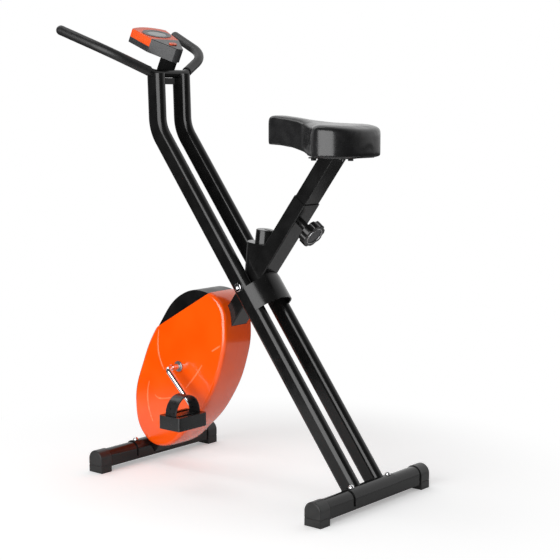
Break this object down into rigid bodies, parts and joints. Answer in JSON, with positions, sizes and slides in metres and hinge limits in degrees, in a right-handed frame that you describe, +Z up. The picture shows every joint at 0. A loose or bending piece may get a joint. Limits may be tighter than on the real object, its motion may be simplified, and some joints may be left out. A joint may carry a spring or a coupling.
{
  "type": "folding exercise bike",
  "caption": "Folding upright exercise bike: crossed steel frame, belt-driven flywheel under a moulded egg cover, pedals with straps, sliding saddle, horned bar and tilted console.",
  "frame": {"origin": "middle of the bounding box, on the floor", "axes": "+X towards the rear, +Y to the rider's right, +Z up"},
  "size_m": [0.8393, 0.43, 1.1135],
  "materials": {
    "frame_paint": "satin black powder coat",
    "chrome": "bright chrome plate",
    "zinc_steel": "zinc plated steel",
    "cap_plastic": "moulded black plastic",
    "cover_orange": "gloss orange moulding",
    "guard_black": "black moulding",
    "pedal_plastic": "grained black plastic",
    "strap_rubber": "soft black rubber",
    "grip_foam": "closed cell foam",
    "seat_vinyl": "black vinyl over foam",
    "console_grey": "satin grey moulding",
    "console_orange": "orange moulding",
    "lens_clear": "clear window",
    "flywheel_iron": "turned cast iron",
    "drive_plastic": "moulded pulley plastic",
    "belt_rubber": "ribbed belt rubber",
    "magnet_steel": "plated magnet and steel",
    "knob_plastic": "black knob moulding",
    "disc_grey": "satin grey disc"
  },
  "bodies": {
    "front_frame": {"front_leg": "frame_paint", "pivot_sleeve": "zinc_steel", "stop_saddle": "frame_paint", "tension_stub": "frame_paint", "pin_boss": "frame_paint", "crank_shell": "frame_paint", "crank_cups": "zinc_steel", "flywheel_hub": "frame_paint", "flywheel_bearings": "zinc_steel", "brake_plate": "frame_paint", "front_stabiliser": "frame_paint", "front_cap_left": "cap_plastic", "front_cap_right": "cap_plastic", "front_saddle_plate": "frame_paint", "front_saddle_bolts": "chrome", "cover_left": "cover_orange", "cover_right": "cover_orange", "cover_screws": "zinc_steel", "flywheel_guard": "guard_black", "drive_belt": "belt_rubber"},
    "rear_frame": {"tube_left": "frame_paint", "tube_right": "frame_paint", "cross_plate": "frame_paint", "rear_stabiliser": "frame_paint", "rear_cap_left": "cap_plastic", "rear_cap_right": "cap_plastic", "rear_saddle_plate": "frame_paint", "rear_saddle_bolts": "chrome", "pivot_bolt": "chrome", "pivot_nut": "chrome", "handlebar": "frame_paint", "grip_left": "grip_foam", "grip_right": "grip_foam", "console_case": "console_grey", "console_cover": "console_orange", "console_bezel": "console_grey", "console_lens": "lens_clear", "console_neck": "frame_paint"},
    "reset_button": {"console_button": "console_orange"},
    "crankset": {"crank": "chrome", "drive_pulley": "drive_plastic", "pedal_pins": "zinc_steel"},
    "left_pedal": {"pedal_left": "pedal_plastic", "pedal_strap_left": "strap_rubber"},
    "right_pedal": {"pedal_right": "pedal_plastic", "pedal_strap_right": "strap_rubber"},
    "flywheel_unit": {"flywheel": "flywheel_iron", "flywheel_axle": "zinc_steel", "flywheel_pulley": "drive_plastic"},
    "brake_arm": {"magnet_arm": "magnet_steel", "brake_magnets": "magnet_steel"},
    "tension_dial": {"tension_knob": "knob_plastic"},
    "seat": {"seat_post": "frame_paint", "seat_plate": "frame_paint", "seat_bolts": "zinc_steel", "seat_pan": "cap_plastic", "seat_pad": "seat_vinyl"},
    "seat_pin": {"pull_pin": "zinc_steel", "pin_knob": "knob_plastic", "pin_disc": "disc_grey"}
  },
  "joints": [
    {"name": "fold", "type": "hinge", "parent": "front_frame", "child": "rear_frame", "pos_m": [0.04907, 0, 0.485], "axis": [0, 1, 0], "range_deg": [0, 45]},
    {"name": "crank_turn", "type": "hinge", "parent": "front_frame", "child": "crankset", "pos_m": [-0.16198, 0, 0.26499], "axis": [0, 1, 0], "continuous": true},
    {"name": "flywheel_turn", "type": "hinge", "parent": "front_frame", "child": "flywheel_unit", "pos_m": [-0.09793, 0, 0.35594], "axis": [0, 1, 0], "continuous": true},
    {"name": "left_pedal_turn", "type": "hinge", "parent": "crankset", "child": "left_pedal", "pos_m": [-0.05408, -0.15, 0.16079], "axis": [0, 1, 0], "continuous": true},
    {"name": "right_pedal_turn", "type": "hinge", "parent": "crankset", "child": "right_pedal", "pos_m": [-0.26988, 0.15, 0.36918], "axis": [0, 1, 0], "continuous": true},
    {"name": "tension_turn", "type": "hinge", "parent": "front_frame", "child": "tension_dial", "pos_m": [0.07707, 0, 0.589], "axis": [0.1045, 0, 0.9945], "range_deg": [0, 300]},
    {"name": "brake_swing", "type": "hinge", "parent": "front_frame", "child": "brake_arm", "pos_m": [-0.18207, -0.0385, 0.29481], "axis": [0, 1, 0], "range_deg": [0, 2.5]},
    {"name": "seat_height", "type": "slide", "parent": "front_frame", "child": "seat", "axis": [0.599, 0, 0.8007], "range_m": [-0.05, 0.1]},
    {"name": "pin_slide", "type": "slide", "parent": "front_frame", "child": "seat_pin", "axis": [0.8007, 0, -0.599], "range_m": [-0.008, 0]},
    {"name": "button_press", "type": "slide", "parent": "rear_frame", "child": "reset_button", "axis": [-0.4384, 0, -0.8988], "range_m": [0, 0.0015], "stiffness_N_per_m": 300}
  ],
  "couplings": [
    {"joint": "flywheel_turn", "follows": "crank_turn", "ratio": 5.6},
    {"joint": "brake_swing", "follows": "tension_turn", "ratio": 0.008333}
  ]
}
